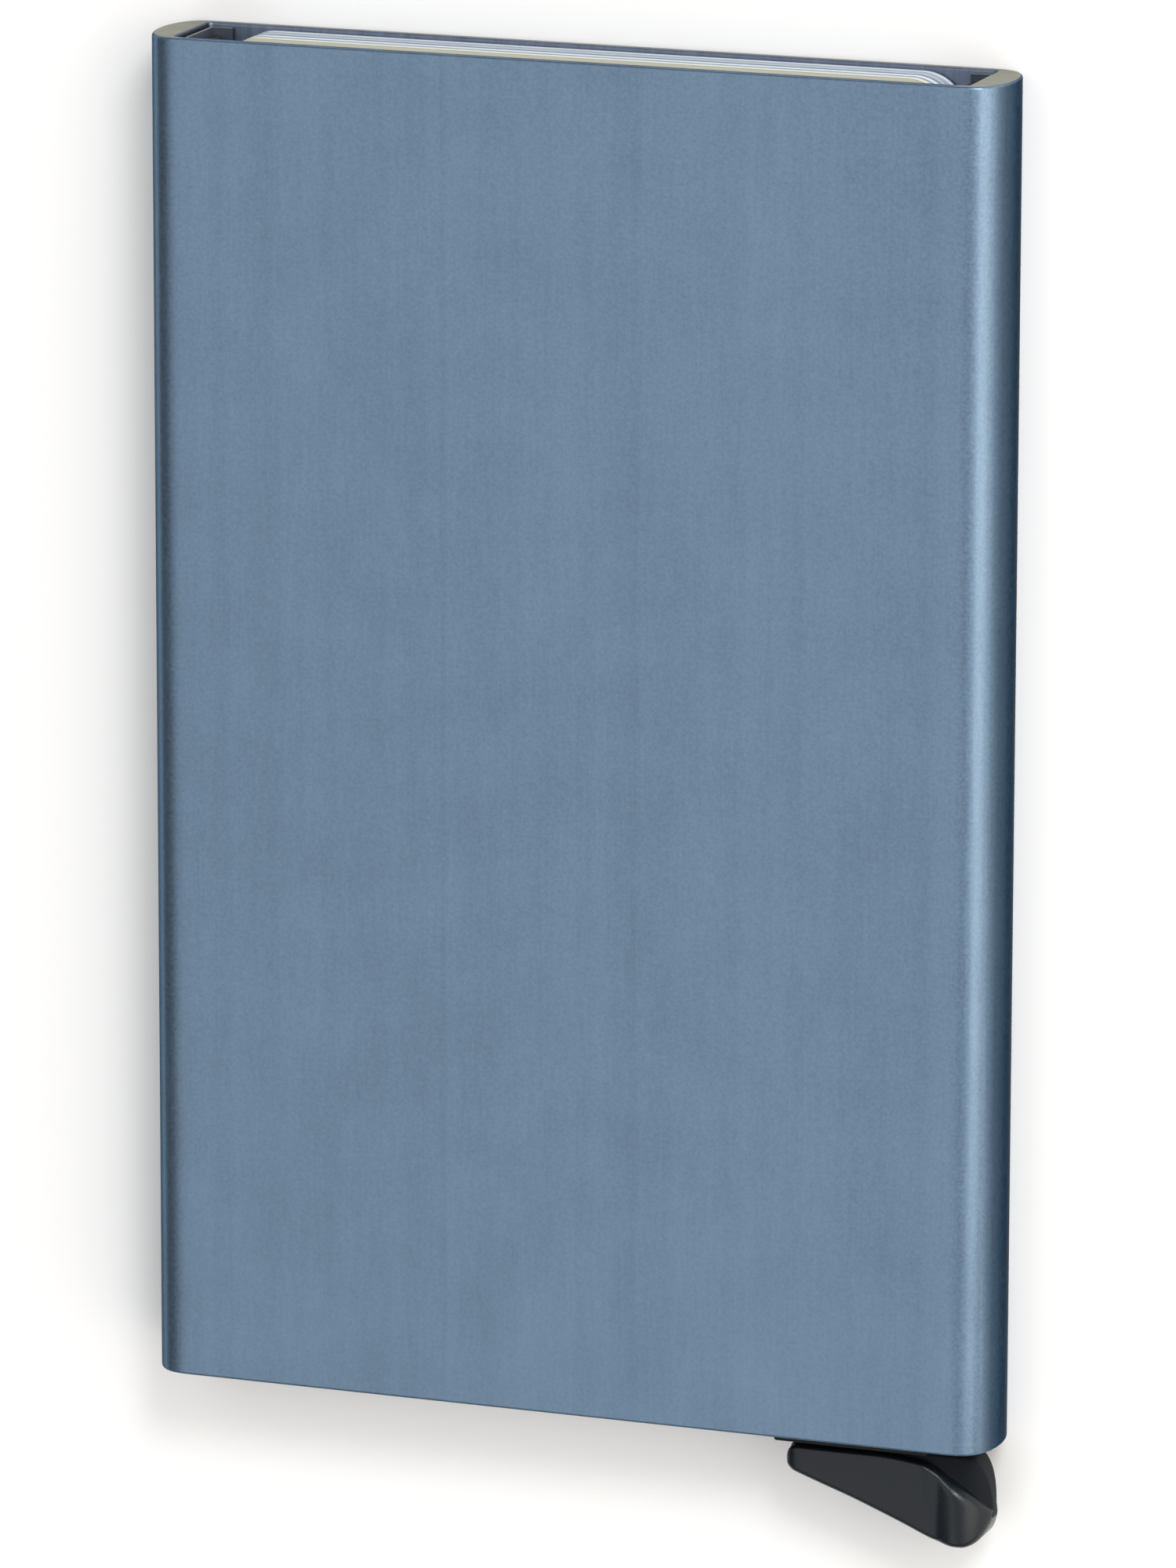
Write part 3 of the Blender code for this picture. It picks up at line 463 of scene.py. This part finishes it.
def pile_fabric(name, colour):
    """Short black pile: tiny tufts that catch a little light at their tips."""
    finish, tree, shader, coords = new_finish(name)
    tufts = noise_pattern(tree, coords, scale=5200.0, detail=4.0, roughness=0.75)
    nap = noise_pattern(tree, coords, scale=600.0)
    mixed = sum_of(tree, 0.0, (tufts, 0.7), (nap, 0.3))
    mottle(tree, shader, mixed, colour, darkest=0.45, lightest=2.1)
    shader.inputs["Roughness"].default_value = 0.95
    shader.inputs["Specular IOR Level"].default_value = 0.1
    shader.inputs["Sheen Weight"].default_value = 0.04
    shader.inputs["Sheen Roughness"].default_value = 0.5
    relief(tree, shader, tufts, depth=0.08 * MM, strength=1.0)
    return finish


def laminated_card(name, face_colour, core_colour, middle_z):
    """Blank laminated card: satin faces, and at its edge a pale core between two dark layers."""
    finish, tree, shader, coords = new_finish(name)
    depth = distance_from(tree, coords, "Z", middle_z)
    fibre = noise_pattern(tree, coords, scale=1500.0, detail=3.0)
    drift = noise_pattern(tree, coords, scale=90.0)
    depth_in_mm = sum_of(tree, 0.0, (depth, 1.0 / MM), (fibre, 0.03))
    edge = between(tree, depth_in_mm, PRINT_LAYER_MM, core_colour, CARD_PRINT_COLOUR)
    paint(tree, shader, between(tree, depth, FACE_LAYER, edge, face_colour))
    roughen(tree, shader, drift, least=0.3, most=0.42)
    height = sum_of(tree, 0.0, (fibre, 0.5), (drift, 0.5))
    relief(tree, shader, height, depth=0.01 * MM, strength=0.35)
    return finish


# Ways of making pieces

def finished_piece(name, bm, body, slot, node, *finishes, smooth_up_to=SMOOTH_UP_TO):
    """Make an object of a bmesh, dress it, hang it on its body, if any, and hide its CAD node."""
    mesh = bpy.data.meshes.new(name)
    bm.to_mesh(mesh)
    bm.free()
    # A copy of a CAD node brings flat normals along
    stored = mesh.attributes.get("custom_normal")
    if stored is not None:
        mesh.attributes.remove(stored)
    mesh.shade_smooth()
    mesh.set_sharp_from_angle(angle=smooth_up_to)
    for finish in finishes:
        mesh.materials.append(finish)
    piece = bpy.data.objects.new(name, mesh)
    bpy.context.scene.collection.objects.link(piece)
    if body:
        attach(piece, body)
    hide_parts(node)
    return piece


def turn(bm, verts, angle, axis):
    """Turn vertices about an axis through the origin."""
    bmesh.ops.rotate(bm, verts=verts, cent=ORIGIN, matrix=Matrix.Rotation(angle, 3, axis))


def turn_upright(bm, verts):
    """Lay what was drawn on the floor plan into the plane across the sleeve."""
    turn(bm, verts, QUARTER_TURN, "X")


def circle(bm, segments, radius=1.0):
    return bmesh.ops.create_circle(bm, segments=segments, radius=radius)["verts"]


def rounded_loop(bm, width, height, corner_width, corner_height, segments):
    """A closed loop about the origin: a circle whose four quarters are drawn apart."""
    loop = circle(bm, segments)
    half_step = math.pi / segments
    grow = 1.0 / math.cos(half_step)
    turn(bm, loop, half_step, "Z")
    bmesh.ops.scale(bm, verts=loop, vec=(corner_width * grow, corner_height * grow, 1.0))
    for right in (1, -1):
        for up in (1, -1):
            quarter = [v for v in loop if v.co.x * right > 0 and v.co.y * up > 0]
            apart = (right * (width / 2 - corner_width), up * (height / 2 - corner_height), 0.0)
            bmesh.ops.translate(bm, verts=quarter, vec=apart)
    return loop


def edges_among(loop):
    """The edges whose two ends are both in the loop, each once, in the loop's order."""
    inside = set(loop)
    found = {edge: None for vert in loop for edge in vert.link_edges
             if edge.other_vert(vert) in inside}
    return list(found)


def fill_loop(bm, loop):
    return bmesh.ops.contextual_create(bm, geom=edges_among(loop))["faces"]


def moved_out(bm, grown, travel):
    """Move what an extrusion has grown, and give its vertices."""
    moved = [part for part in grown["geom"] if isinstance(part, bmesh.types.BMVert)]
    bmesh.ops.translate(bm, verts=moved, vec=travel)
    return moved


def extrude_faces(bm, faces, travel):
    return moved_out(bm, bmesh.ops.extrude_face_region(bm, geom=faces), travel)


def extrude_edges(bm, edges, travel):
    return moved_out(bm, bmesh.ops.extrude_edge_only(bm, edges=edges), travel)


def outwards(bm):
    """Turn every face to look out of the solid."""
    bmesh.ops.recalc_face_normals(bm, faces=bm.faces)


def raise_solid(bm, loop, place, height):
    """Fill a loop, put it in its place and raise it along Z."""
    face = fill_loop(bm, loop)
    bmesh.ops.translate(bm, verts=bm.verts, vec=place)
    extrude_faces(bm, face, (0.0, 0.0, height))
    outwards(bm)


def corners(bm):
    """The edges between faces that meet at a clear corner."""
    return [e for e in bm.edges
            if len(e.link_faces) == 2 and e.calc_face_angle(0.0) > CORNER_FROM]


def round_off(bm, edges, width, segments):
    bmesh.ops.bevel(bm, geom=edges, offset=width, segments=segments, profile=0.5,
                    affect="EDGES", material=-1)


def welded_copy(node):
    """A CAD node's own shape as one welded mesh, its flat triangles joined to faces again."""
    bm = bmesh.new()
    bm.from_mesh(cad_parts[node].data)
    bmesh.ops.remove_doubles(bm, verts=bm.verts, dist=WELD)
    bmesh.ops.dissolve_limit(bm, angle_limit=FLAT_UP_TO, use_dissolve_boundaries=False,
                             verts=bm.verts, edges=bm.edges)
    return bm


def ease_edges(piece, width, segments):
    """Break the sharp edges of a moulding a little, so that they catch the light."""
    edge = piece.modifiers.new("eased_edges", "BEVEL")
    edge.width = width
    edge.segments = segments
    edge.limit_method = "ANGLE"
    edge.angle_limit = EASED_FROM
    return piece


# Sleeve

def soften_sides(loop):
    """Let the flat faces run into the round walls by degrees, as the die does."""
    for v in loop:
        share = (abs(v.co.x) - WIDTH / 2 + SIDE_BULGE) / SIDE_BULGE
        across = WIDTH / 2 - SOFT_BULGE + SOFT_BULGE * math.sqrt(min(share, 1.0))
        v.co.x = math.copysign(across, v.co.x)


def rim_edges(bm):
    """The edges round both ends of the sleeve, outside and inside."""
    return [e for e in corners(bm)
            if abs(abs(e.verts[0].co.y) - LENGTH / 2) < WELD
            and abs(e.verts[0].co.y - e.verts[1].co.y) < WELD]


def mark_sleeve_faces(bm):
    """Give the cut ends the second finish and the inside the third. The end of the front wall
    keeps the first, darker finish, which paints a line of shade along that thin rim."""
    bm.normal_update()
    reach = RIM_ROUNDING * INSIDE_STARTS
    for face in bm.faces:
        middle = face.calc_center_median()
        if abs(face.normal.y) > SLEEVE_END_FACING:
            # Painted shade: the front wall's thin end takes the darker dyed finish for the dark
            # line along that rim
            front_wall = abs(middle.x) < WIDTH / 4 and middle.z > MIDDLE_Z
            face.material_index = 0 if front_wall else 1
        elif (abs(middle.x) < WIDTH / 2 - SIDE_WALL + reach
              and abs(middle.z - MIDDLE_Z) < THICKNESS / 2 - FACE_WALL + reach):
            face.material_index = 2


def make_sleeve():
    """The extruded tube with its broken rims."""
    bm = bmesh.new()
    outer = rounded_loop(bm, WIDTH, THICKNESS, SIDE_BULGE, THICKNESS / 2, SLEEVE_SEGMENTS)
    soften_sides(outer)
    inner = rounded_loop(bm, WIDTH - 2 * SIDE_WALL, THICKNESS - 2 * FACE_WALL, CHAMBER_CORNER,
                         CHAMBER_CORNER, SLEEVE_SEGMENTS)
    ring = bmesh.ops.bridge_loops(bm, edges=edges_among(outer) + edges_among(inner))["faces"]
    turn_upright(bm, bm.verts)
    bmesh.ops.translate(bm, verts=bm.verts, vec=(0.0, RIM_BOTTOM, MIDDLE_Z))
    extrude_faces(bm, ring, (0.0, LENGTH, 0.0))
    outwards(bm)
    round_off(bm, rim_edges(bm), RIM_ROUNDING, RIM_SEGMENTS)
    mark_sleeve_faces(bm)
    return finished_piece(
        "sleeve", bm, "holder", "housing", "housing",
        anodised_aluminium("satin_anodised_sleeve", SLEEVE_COLOUR),
        cut_aluminium("cut_sleeve_ends", CUT_END_COLOUR),
        drawn_bore("drawn_sleeve_inside", BORE_COLOUR))


# Cards

def make_card(node):
    """A blank card with round corners and barely broken edges."""
    low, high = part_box(node)
    size = high - low
    middle = (low + high) / 2
    bm = bmesh.new()
    loop = rounded_loop(bm, size.x, size.y, CARD_CORNER, CARD_CORNER, CARD_SEGMENTS)
    raise_solid(bm, loop, (middle.x, middle.y, low.z), size.z)
    round_off(bm, corners(bm), CARD_EDGE_ROUNDING, CARD_EDGE_SEGMENTS)
    slot, face_colour, core_colour = CARD_LOOKS[node]
    finish = laminated_card(f"blank_{slot}", face_colour, core_colour, middle.z)
    return finished_piece(f"blank_{slot}", bm, node, slot, node, finish)


# Lever

def arc(centre, radius, start, end):
    """Points on an arc about a centre, its angles in degrees."""
    turns = [start + (end - start) * n / SECTION_ARC_STEPS for n in range(SECTION_ARC_STEPS + 1)]
    return [(centre[0] + radius * math.cos(math.radians(t)),
             centre[1] + radius * math.sin(math.radians(t))) for t in turns]


def knob_softness(along):
    """0 on the flat of the thumb piece and 1 on its knob, with a soft start and end."""
    knob = min(max((along - KNOB_STARTS) / (KNOB_ROUND - KNOB_STARTS), 0.0), 1.0)
    return knob * knob * (3.0 - 2.0 * knob)


def thumb_section(shares):
    """The tee shaped section of the thumb piece: a narrow web above and a wide pad below."""
    along, web_top, shoulder, under, web_share, pad_share = shares
    x = PIVOT.x - THUMB_LEFT + along * THUMB_LENGTH
    top = THUMB_RIM - web_top * THUMB_DROP
    ridge = THUMB_RIM - shoulder * THUMB_DROP
    # Between two rows the spline may run a little past the full drop
    foot = THUMB_RIM - min(under, 1.0) * THUMB_DROP
    web = WEB_HALF * web_share
    pad = PAD_HALF * pad_share
    ledge = pad - web
    softness = knob_softness(along)
    fillet = min(SHOULDER_FILLET, ledge * (FILLET_WIDTH_SHARE - KNOB_FILLET_LESS * softness),
                 (top - ridge) * FILLET_HEIGHT_SHARE)
    corner = min(SHOULDER_ROUNDING + softness * (KNOB_ROUNDING - SHOULDER_ROUNDING),
                 ledge * (EDGE_WIDTH_SHARE + KNOB_SHOULDER_MORE * softness),
                 (ridge - foot) * PAD_HEIGHT_SHARE)
    edge = min(WEB_EDGE, web * EDGE_WIDTH_SHARE, (top - ridge) * EDGE_HEIGHT_SHARE)
    sole = min(SOLE_ROUNDING, pad * EDGE_WIDTH_SHARE, (ridge - foot) * PAD_HEIGHT_SHARE)
    half = arc((web - edge, top - edge), edge, 90.0, 0.0)
    half += arc((web + fillet, ridge + fillet), fillet, 180.0, 270.0)
    half += arc((pad - corner, ridge - corner), corner, 90.0, 0.0)
    half += arc((pad - sole, foot + sole), sole, 0.0, -90.0)
    front = [(x, y, MIDDLE_Z + z) for z, y in half]
    back = [(x, y, MIDDLE_Z - z) for z, y in reversed(half)]
    return front + back


def smooth_rows(rows, steps):
    """The rows with evenly curved rows put in between, each value by a spline through them."""
    out = []
    for n in range(len(rows) - 1):
        before, first = rows[max(n - 1, 0)], rows[n]
        second, after = rows[n + 1], rows[min(n + 2, len(rows) - 1)]
        for k in range(steps):
            t = k / steps
            out.append(tuple(
                0.5 * (2 * b + (c - a) * t + (2 * a - 5 * b + 4 * c - d) * t ** 2
                       + (3 * b - a - 3 * c + d) * t ** 3)
                for a, b, c, d in zip(before, first, second, after)))
    return out + [rows[-1]]


def ridge_height(rows, x):
    """How high the shoulder of the thumb piece stands at this place across."""
    along = (x - PIVOT.x + THUMB_LEFT) / THUMB_LENGTH
    for first, second in zip(rows, rows[1:]):
        if along <= second[0]:
            break
    part = min(max((along - first[0]) / (second[0] - first[0]), 0.0), 1.0)
    return THUMB_RIM - (first[2] + (second[2] - first[2]) * part) * THUMB_DROP


def make_thumb_piece(finish, web_finish):
    """The part of the lever below the rim, lofted through its sections."""
    bm = bmesh.new()
    rows = smooth_rows(THUMB_SHARES, SECTION_STEPS)
    loops = [[bm.verts.new(point) for point in thumb_section(shares)] for shares in rows]
    rings = [[bm.edges.new((loop[n - 1], loop[n])) for n in range(len(loop))] for loop in loops]
    for first, second in zip(rings, rings[1:]):
        bmesh.ops.bridge_loops(bm, edges=first + second)
    for ring in (rings[0], rings[-1]):
        bmesh.ops.contextual_create(bm, geom=ring)
    outwards(bm)
    for face in bm.faces:
        middle = face.calc_center_median()
        on_web = middle.y > ridge_height(rows, middle.x) + WEB_FINISH_ABOVE
        if on_web or face.normal.x > END_CAP_FACING:
            face.material_index = 1
    return finished_piece("thumb_piece", bm, "lever", "lever", "lever", finish, web_finish,
                          smooth_up_to=ROUND_SMOOTH_UP_TO)


def make_ejector_arm(finish):
    """Hub, sleeve, neck and the six steps, which are one moulding with the thumb piece."""
    bm = welded_copy("lever")
    bmesh.ops.bisect_plane(bm, geom=bm.verts[:] + bm.edges[:] + bm.faces[:], dist=WELD,
                           plane_co=(0.0, THUMB_RIM - NECK_CUT, 0.0), plane_no=(0.0, -1.0, 0.0),
                           clear_outer=True)
    extrude_edges(bm, [e for e in bm.edges if e.is_boundary], (0.0, -NECK_SINK, 0.0))
    bmesh.ops.holes_fill(bm, edges=[e for e in bm.edges if e.is_boundary])
    outwards(bm)
    return finished_piece("ejector_arm", bm, "lever", "lever", "lever", finish)


# Base, pin and spring

def make_base_half(node, name, finish):
    """One half of the moulded base, its own shape with eased edges."""
    piece = finished_piece(name, welded_copy(node), "holder", "base", node, finish)
    return ease_edges(piece, BASE_EDGE_EASE, BASE_EDGE_SEGMENTS)


def make_pin(finish):
    """Ground pin with broken ends."""
    bm = bmesh.new()
    loop = circle(bm, PIN_SEGMENTS, (pin_high.x - pin_low.x) / 2)
    raise_solid(bm, loop, (PIVOT.x, PIVOT.y, pin_low.z), pin_high.z - pin_low.z)
    round_off(bm, corners(bm), PIN_CHAMFER, PIN_CHAMFER_SEGMENTS)
    return finished_piece("ground_pin", bm, "holder", "pin", "pivot_pin", finish)


def make_spring(finish):
    """A torsion spring wound from round wire: a leg on the lever, the coil, a leg on the base."""
    bm = bmesh.new()
    profile = circle(bm, WIRE_SEGMENTS, WIRE_RADIUS)
    turn_upright(bm, profile)
    bmesh.ops.translate(bm, verts=profile, vec=(COIL_RADIUS, 0.0, 0.0))
    turn(bm, profile, COIL_STARTS, "Z")
    bmesh.ops.translate(bm, verts=profile, vec=(PIVOT.x, PIVOT.y, LEG_ON_LEVER_Z))
    start_ring = edges_among(profile)
    climb = (LEG_ON_BASE_Z - LEG_ON_LEVER_Z) / COIL_STEPS
    spun = bmesh.ops.spin(bm, geom=start_ring, cent=PIVOT, axis=(0.0, 0.0, 1.0),
                          dvec=(0.0, 0.0, climb), angle=COIL_TURN, steps=COIL_STEPS,
                          use_duplicate=False)
    end_ring = [part for part in spun["geom_last"] if isinstance(part, bmesh.types.BMEdge)]
    way_in = Vector((-math.sin(COIL_STARTS), math.cos(COIL_STARTS), 0.0))
    legs = ((start_ring, -way_in * MOVING_LEG), (end_ring, Vector((0.0, FIXED_LEG, 0.0))))
    for ring, travel in legs:
        fill_loop(bm, extrude_edges(bm, ring, travel))
    outwards(bm)
    spring = finished_piece("wire_spring", bm, None, "spring", "return_spring", finish,
                            smooth_up_to=ROUND_SMOOTH_UP_TO)
    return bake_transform(spring)


# Strips and their channels

def make_channel(node, name, finish, end_highlight_finish):
    """The plastic rail that holds a strip, its cut ends painted paler as a painted highlight."""
    bm = welded_copy(node)
    round_off(bm, corners(bm), CHANNEL_EDGE_EASE, CHANNEL_EDGE_SEGMENTS)
    bm.normal_update()
    for face in bm.faces:
        if abs(face.normal.y) > CHANNEL_END_FACING:
            face.material_index = 1
    return finished_piece(name, bm, "holder", "channel", node, finish, end_highlight_finish)


def strip_outline(bm, width, height):
    """The strip's section about the origin: a crown on its right, small corners on its left."""
    loop = circle(bm, STRIP_SEGMENTS)
    turn(bm, loop, math.pi / STRIP_SEGMENTS, "Z")
    crown = [v for v in loop if v.co.x > 0]
    back = [v for v in loop if v.co.x < 0]
    bmesh.ops.scale(bm, verts=crown, vec=(STRIP_CROWN, height / 2, 1.0))
    bmesh.ops.translate(bm, verts=crown, vec=(width / 2 - STRIP_CROWN, 0.0, 0.0))
    for up in (1, -1):
        corner = [v for v in back if v.co.y * up > 0]
        bmesh.ops.scale(bm, verts=corner, vec=(STRIP_CORNER, STRIP_CORNER, 1.0))
        bmesh.ops.translate(bm, verts=corner, vec=(
            STRIP_CORNER - width / 2, up * (height / 2 - STRIP_CORNER), 0.0))
    return loop


def raise_pile(bm):
    """Lift and sink the surface a little along its normals, as a nap does."""
    bm.normal_update()
    lifts = [vert.normal * PILE_DEPTH * noise.noise(vert.co * PILE_FINENESS)
             for vert in bm.verts]
    for vert, lift in zip(bm.verts, lifts):
        vert.co += lift


def make_pile_strip(node, name, towards_cards, finish):
    """A crowned strip of short pile with soft ends, a pile's depth inside its CAD box."""
    low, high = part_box(node)
    size = high - low
    bm = bmesh.new()
    loop = strip_outline(bm, size.x - 2 * PILE_DEPTH, size.z - 2 * PILE_DEPTH)
    bmesh.ops.scale(bm, verts=loop, vec=(towards_cards, 1.0, 1.0))
    turn_upright(bm, bm.verts)
    bmesh.ops.translate(bm, verts=bm.verts, vec=(
        (low.x + high.x) / 2, low.y + PILE_DEPTH, (low.z + high.z) / 2))
    length = size.y - 2 * PILE_DEPTH
    count = round(length / STRIP_STEP)
    fill_loop(bm, loop)
    for _ in range(count):
        loop = extrude_edges(bm, edges_among(loop), (0.0, length / count, 0.0))
    fill_loop(bm, loop)
    outwards(bm)
    raise_pile(bm)
    strip = finished_piece(name, bm, "holder", "grip_strip", node, finish,
                           smooth_up_to=SMOOTH_ALL_OVER)
    return strip


# Table, light and camera

def make_table():
    """A plain pale plane, a hair below the holder's back face."""
    bm = bmesh.new()
    bmesh.ops.create_grid(bm, x_segments=1, y_segments=1, size=TABLE_HALF)
    bmesh.ops.translate(bm, verts=bm.verts, vec=(0.0, 0.0, -TABLE_BELOW))
    mesh = bpy.data.meshes.new("pale_table")
    bm.to_mesh(mesh)
    bm.free()
    finish = bpy.data.materials.new("pale_table")
    finish.use_nodes = True
    shader = finish.node_tree.nodes["Principled BSDF"]
    shader.inputs["Base Color"].default_value = (*TABLE_COLOUR, 1.0)
    shader.inputs["Roughness"].default_value = TABLE_ROUGHNESS
    shader.inputs["Specular IOR Level"].default_value = 0.0
    mesh.materials.append(finish)
    table = bpy.data.objects.new("pale_table", mesh)
    bpy.context.scene.collection.objects.link(table)


def softbox(name, place, width, height, brightness, colour):
    """A flat lamp turned to the holder, whose face has this brightness."""
    lamp = bpy.data.lights.new(name, "AREA")
    lamp.shape = "RECTANGLE"
    lamp.size = width
    lamp.size_y = height
    lamp.energy = WATTS_PER_AREA * brightness * width * height
    lamp.color = colour
    stand = bpy.data.objects.new(name, lamp)
    stand.location = place
    to_holder = Vector(ORIGIN) - Vector(place)
    stand.rotation_euler = to_holder.to_track_quat("-Z", "Y").to_euler()
    bpy.context.scene.collection.objects.link(stand)


def light_the_studio():
    """A wide soft dome of light from above and a little to the right, and three softboxes."""
    world = bpy.data.worlds.new("studio")
    world.use_nodes = True
    tree = world.node_tree
    way = tree.nodes.new("ShaderNodeTexCoord").outputs["Generated"]
    facing = tree.nodes.new("ShaderNodeVectorMath")
    facing.operation = "DOT_PRODUCT"
    facing.inputs[1].default_value = DOME_CENTRE.normalized()
    tree.links.new(way, facing.inputs[0])
    dome = spread(tree, facing.outputs["Value"], (DOME_EDGE, DOME_FULL),
                  (HORIZON_BRIGHTNESS, DOME_BRIGHTNESS))
    dome.node.interpolation_type = "SMOOTHSTEP"
    # A darker gap straight above, between the dome and the softboxes, no darker than the horizon
    gap = stripe(tree, way, GAP_PLACE, GAP_HALF_WIDTH)
    dimmed = sum_of(tree, dome, (gap, -GAP_DEPTH))
    brightness_span = (HORIZON_BRIGHTNESS, DOME_BRIGHTNESS)
    held = spread(tree, dimmed, brightness_span, brightness_span)
    background = tree.nodes["Background"]
    background.inputs["Color"].default_value = (*WHITE, 1.0)
    tree.links.new(held, background.inputs["Strength"])
    bpy.context.scene.world = world
    for box in SOFTBOXES:
        softbox(*box)
    bpy.context.scene.view_settings.view_transform = "Standard"


def place_camera():
    """A long lens at the photograph's angle and distance."""
    lens = bpy.data.cameras.new("photo_view")
    lens.lens = CAMERA_LENS_MM
    lens.sensor_width = CAMERA_SENSOR_MM
    lens.clip_start = CAMERA_CLIP
    view = bpy.data.objects.new("photo_view", lens)
    view.location = CAMERA_PLACE
    view.rotation_euler = Euler([math.radians(angle) for angle in CAMERA_TURN], "XYZ")
    bpy.context.scene.collection.objects.link(view)
    bpy.context.scene.camera = view


def dress_card_holder():
    """Every piece of the holder, from the sleeve inwards, in its own finish."""
    make_sleeve()
    for node in CARD_LOOKS:
        make_card(node)
    charcoal = moulded_plastic("charcoal_lever", LEVER_COLOUR, roughness=(0.22, 0.36),
                               grain_depth=0.012 * MM, grain_scale=6500.0, gloss=0.38)
    matt = moulded_plastic("charcoal_lever_web", LEVER_WEB_COLOUR, roughness=(0.5, 0.65),
                           grain_depth=0.01 * MM, grain_scale=6500.0, gloss=0.12)
    make_thumb_piece(charcoal, matt)
    make_ejector_arm(charcoal)
    black = moulded_plastic("black_base", BASE_COLOUR, roughness=(0.5, 0.65),
                            grain_depth=0.02 * MM, grain_scale=5200.0, gloss=0.2)
    make_base_half("base_frame", "base_back_half", black)
    make_base_half("base_cover", "base_front_half", black)
    make_pin(ground_steel("ground_pin_steel", PIN_COLOUR, stretch=(1.0, 1.0, 0.05)))
    make_spring(ground_steel("drawn_wire_steel", WIRE_COLOUR, stretch=(1.0, 1.0, 1.0)))
    rail = moulded_plastic("grey_channel", CHANNEL_COLOUR, roughness=(0.3, 0.42),
                           grain_depth=0.01 * MM, grain_scale=7000.0, gloss=0.3)
    # Painted highlight: a paler finish for the ends of the rails
    rail_end_highlight = moulded_plastic("channel_end_painted_highlight", CHANNEL_END_HIGHLIGHT_COLOUR, roughness=(0.5, 0.6),
                               grain_depth=0.01 * MM, grain_scale=7000.0, gloss=0.3)
    pile = pile_fabric("black_pile", PILE_COLOUR)
    for side, towards_cards in (("left", 1), ("right", -1)):
        make_channel(f"strip_channel_{side}", f"channel_{side}", rail, rail_end_highlight)
        make_pile_strip(f"grip_strip_{side}", f"pile_strip_{side}", towards_cards, pile)


dress_card_holder()
make_table()
light_the_studio()
place_camera()
